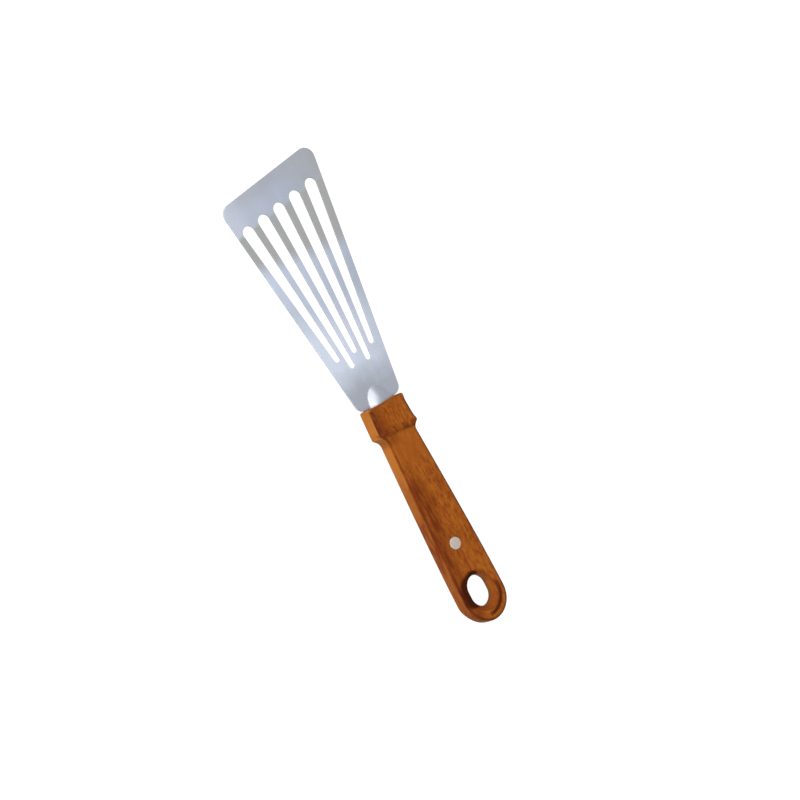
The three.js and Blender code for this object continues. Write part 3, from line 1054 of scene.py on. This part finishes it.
# %% [markdown]
# The rounded edges are darker, and so is the upper part of the collar's sides, less so at the collar's
# front edge. How far a surface leans finds them, whatever their radius, and blotches make the darkening
# patchy. The mask leaves out the flare of the hang hole, which leans in the same way.

# %% Darker edges
DARK_BROWN = colour(70, 29, 9)
FLARE_RIM = (11.9, 12.6)
COLLAR_END = (-0.5, 1)
UPPER_COLLAR = (10.2, 12.7)
UPPER_LEAN = 0.6
UPPER_FLAT = 0.1
EDGE_LEAN = (0.4, 0.62)
EDGE_FLAT = 0.8
PATCHY_SPAN = (0.38, 0.6)
PATCHY_LEAST = 0.75
PATCHY_GAIN = 0.4
GRIP_EDGE_DARKENING = 0.65
COLLAR_EDGE_DARKENING = 0.4
FRONT_EDGE_START = 1.8
FRONT_EDGE_END = 0.5
FRONT_EDGE_REDUCTION = 0.6

ahead_of_hole = wood.x - hole_x / MM
past_straight = wood.sum("MAXIMUM", abs(ahead_of_hole) - HOLE_STRAIGHT / MM / 2, 0)
outside_flare = wood.rise((past_straight ** 2 + wood.y ** 2) ** 0.5, *FLARE_RIM)
level = abs(wood.facing_z)
collar_share = 1 - wood.rise(behind_collar, *COLLAR_END)
upper = wood.rise(wood.z, *UPPER_COLLAR) * collar_share
edge = wood.rise(level + upper * UPPER_LEAN, *EDGE_LEAN)
edge = edge * (1 - wood.rise(level, EDGE_FLAT + upper * UPPER_FLAT, 1))
patchy = PATCHY_LEAST + PATCHY_GAIN * wood.rise(blotch, *PATCHY_SPAN)
front_edge = wood.rise(wood.x, collar_face / MM - FRONT_EDGE_START, collar_face / MM - FRONT_EDGE_END)
edge_darkening = patchy * (GRIP_EDGE_DARKENING + collar_share * COLLAR_EDGE_DARKENING) * (1 - front_edge * FRONT_EDGE_REDUCTION)
tone = wood.mix(edge * outside_flare * edge_darkening, tone, DARK_BROWN)
print(f"with the oiled edges: {len(wood.tree.nodes)} nodes")

# %% [markdown]
# A thin broken line of painted shade runs along the foot of the step behind the collar, and a few dark
# patches lie on its edge. Two bands across the handle hold them, slightly slanted like the step.

# %% Painted shade in the step behind the collar
STEP_SLANT = 0.15
STEP_SHADE = (0, 1.8, 1.0)
STEP_SHADE_BREAKS = (0.46, 0.6)
STEP_SHADE_SHARE = 0.7
STEP_PATCH = (-2.8, 1.5, 1.5)
STEP_PATCH_STAIN = (0.46, 0.56)
STEP_PATCH_SHARE = 0.85
BLOTCH_IN_NOISE = 0.6

behind_step = behind_collar + STEP_SLANT * wood.y
shade_breaks = stain * (1 - BLOTCH_IN_NOISE) + blotch * BLOTCH_IN_NOISE
# Painted shade along the foot of the step, broken up by noise.
line = wood.band(behind_step, *STEP_SHADE) * wood.rise(shade_breaks, *STEP_SHADE_BREAKS)
tone = wood.mix(line * STEP_SHADE_SHARE, tone, HEARTWOOD_AND_SHADE)
patch_stain = blotch * BLOTCH_IN_NOISE + fleck * (1 - BLOTCH_IN_NOISE)
patch = wood.band(behind_step, *STEP_PATCH) * on_top * wood.rise(patch_stain, *STEP_PATCH_STAIN)
tone = wood.mix(patch * STEP_PATCH_SHARE, tone, HEARTWOOD_AND_SHADE)
print(f"with the step: {len(wood.tree.nodes)} nodes")

# %% [markdown]
# The hang hole has painted shade, deepest on the side where its flare faces away from the light, and a
# little on the end of its flare that is nearer the tip. The mask is a distance from the middle of the hole,
# stretched to suit its long shape, that reaches further towards the shaded side.

# %% Painted shade in the hang hole
HOLE_SHADE = colour(48, 15, 3)
TIP_END_SHADE = (-9, 1)
TIP_END_SHADE_SHARE = 0.6
SHADE_STRETCH = (1.1, 0.83)
SHADED_SIDE = (0.5, 0.86)
SHADE_START = (0.0, 0.42)
SHADE_DEPTH = (0.05, 0.8)
SHADE_LEAST = (8.3, 9.3)
SHADE_GAIN = (3.6, 5.6)
SHADE_WANDER = 0.15
HOLE_SHADE_SHARE = 0.95

# Painted shade on the end of the flare nearer the tip.
tip_end_shade = 1 - wood.rise(ahead_of_hole, *TIP_END_SHADE)
tone = wood.mix((1 - outside_flare) * tip_end_shade * TIP_END_SHADE_SHARE, tone, HEARTWOOD_AND_SHADE)
# Painted shade inside the hang hole, on the side that faces away from the light.
from_hole = ((past_straight * SHADE_STRETCH[0]) ** 2 + (wood.y * SHADE_STRETCH[1]) ** 2) ** 0.5
towards_shaded_side = (ahead_of_hole * SHADED_SIDE[0] + wood.y * SHADED_SIDE[1]) / from_hole
depth = wood.rise(towards_shaded_side, *SHADE_DEPTH)
fade = [least + gain * depth for least, gain in zip(SHADE_LEAST, SHADE_GAIN)]
hole_shade = 1 - wood.rise(from_hole + wander * SHADE_WANDER, *fade)
hole_shade = hole_shade * wood.rise(towards_shaded_side, *SHADE_START) * (1 - side * outside_flare)
tone = wood.mix(hole_shade * HOLE_SHADE_SHARE, tone, HOLE_SHADE)
print(f"with the hang hole: {len(wood.tree.nodes)} nodes")

# %% [markdown]
# One dark streak of the grain bends round the tip beside the hole. It is a stretch of a ring, cut to length
# by two more bands. The oil leaves the wood with a low sheen, so it is rough and hardly mirrors anything.

# %% A dark streak round the tip, and the low sheen
STREAK_CENTRE = (-126.1, 3.1)
STREAK_BAND = (13.2, 15.6, 0.7)
STREAK_WANDER = 0.06
STREAK_SLANT = 0.3
STREAK_SPAN = (25, 45, 2.5)
STREAK_FRONT = (-125, -119)
SHEEN_ROUGHNESS = 0.5
FLECK_ROUGHNESS = 0.12
PORE_STRENGTH = 0.1
PORE_DEPTH = 0.0001

from_arc = ((wood.x - STREAK_CENTRE[0]) ** 2 + (wood.y - STREAK_CENTRE[1]) ** 2) ** 0.5
streak = wood.band(from_arc + wander * STREAK_WANDER, *STREAK_BAND)
streak = streak * wood.band(wood.y - STREAK_SLANT * wood.x, *STREAK_SPAN)
streak = streak * (1 - wood.rise(wood.x, *STREAK_FRONT))
tone = wood.mix(streak, tone, DARK_BROWN)
wood.set(
    base_color=tone,
    roughness=SHEEN_ROUGHNESS + centred(fleck) * FLECK_ROUGHNESS,
    specular_ior_level=0.02,
    normal=wood.bump(pore, PORE_STRENGTH, PORE_DEPTH),
)
wood.coat("wooden_handle")

# %% [markdown]
# The rivet is plain aluminium, dulled by the sanding that brought it nearly level with the wood. A fine
# mottle in its colour and roughness is all that it shows.

# %% Dulled aluminium
RIVET_DARK = shown(164, 150, 141)
RIVET_LIGHT = shown(184, 173, 164)
MOTTLE_SIZE = (1.2, 1.2, 1.2)
RIVET_ROUGHNESS = 0.5
MOTTLE_ROUGHNESS = 0.15

rivet = Finish("dulled_aluminium")
mottle = rivet.grain(MOTTLE_SIZE, detail=3.0)
rivet.set(
    base_color=rivet.mix(mottle, RIVET_DARK, RIVET_LIGHT),
    metallic=0.9,
    roughness=RIVET_ROUGHNESS + centred(mottle) * MOTTLE_ROUGHNESS,
)
rivet.coat("turned_rivet_pin", "turned_rivet_sleeve")

# %% [markdown]
# The stage is a wide pale floor that glows a little, like a light table, so that the slots and the hang
# hole look through to white, and the world fills in from all round.

# %% Floor and backdrop
FLOOR_SIDE = 6.0
FLOOR_DROP = 0.2 * MM
FLOOR_GREY = (0.12, 0.12, 0.12, 1)
FLOOR_WHITE = (1, 1, 1, 1)
FLOOR_GLOW = 0.95
WORLD_TINT = (0.98, 0.99, 1.0, 1)

ground = bmesh.new()
drop = Matrix.Translation((0, 0, -FLOOR_DROP))
bmesh.ops.create_grid(ground, x_segments=1, y_segments=1, size=FLOOR_SIDE / 2, matrix=drop)
floor = new_object("floor", ground)
pale = Finish("pale_floor")
pale.set(
    base_color=FLOOR_GREY, roughness=0.9, emission_color=FLOOR_WHITE, emission_strength=FLOOR_GLOW
)
pale.coat("floor")

world = bpy.data.worlds.new("studio")
world.use_nodes = True
backdrop = world.node_tree.nodes["Background"]
backdrop.inputs["Color"].default_value = WORLD_TINT
backdrop.inputs["Strength"].default_value = WORLD_GLOW
bpy.context.scene.world = world
bpy.context.scene.view_settings.view_transform = "Standard"

# %% [markdown]
# A low key light stands in front on the left of the tool, and a soft panel hangs overhead for the wood.
# Both are kept out of reflections, as a polarising filter would, so that they do not sparkle along the
# punched edges. Two cards do the opposite: they show only in reflections, and give the bead the gleam along
# its flank and round its nose.

# %% Lights and cards


def soft_light(name, place, width, height, power):
    """A rectangular area light that looks at the middle of the tool."""
    lamp = bpy.data.lights.new(name, "AREA")
    lamp.shape = "RECTANGLE"
    lamp.size = width
    lamp.size_y = height
    lamp.energy = power
    made = bpy.data.objects.new(name, lamp)
    bpy.context.scene.collection.objects.link(made)
    made.location = place
    made.rotation_euler = Vector(place).to_track_quat("Z", "Y").to_euler()
    print(f"{name}: {power} W, {width} by {height} m")
    return made


key_light = soft_light("key_light", (0.95, 1.0, 0.5), width=0.8, height=0.8, power=32)
overhead_panel = soft_light("overhead_panel", (-0.05, 0.68, 1.36), width=1.1, height=1.3, power=11)
flank_card = soft_light("flank_card", (-0.05, 0.72, 1.33), width=1.1, height=1.0, power=9)
nose_card = soft_light("nose_card", (0.8, 0.08, 1.2), width=0.9, height=0.9, power=4.5)
for light in (key_light, overhead_panel):
    light.visible_glossy = False
for card in (flank_card, nose_card):
    card.visible_diffuse = False
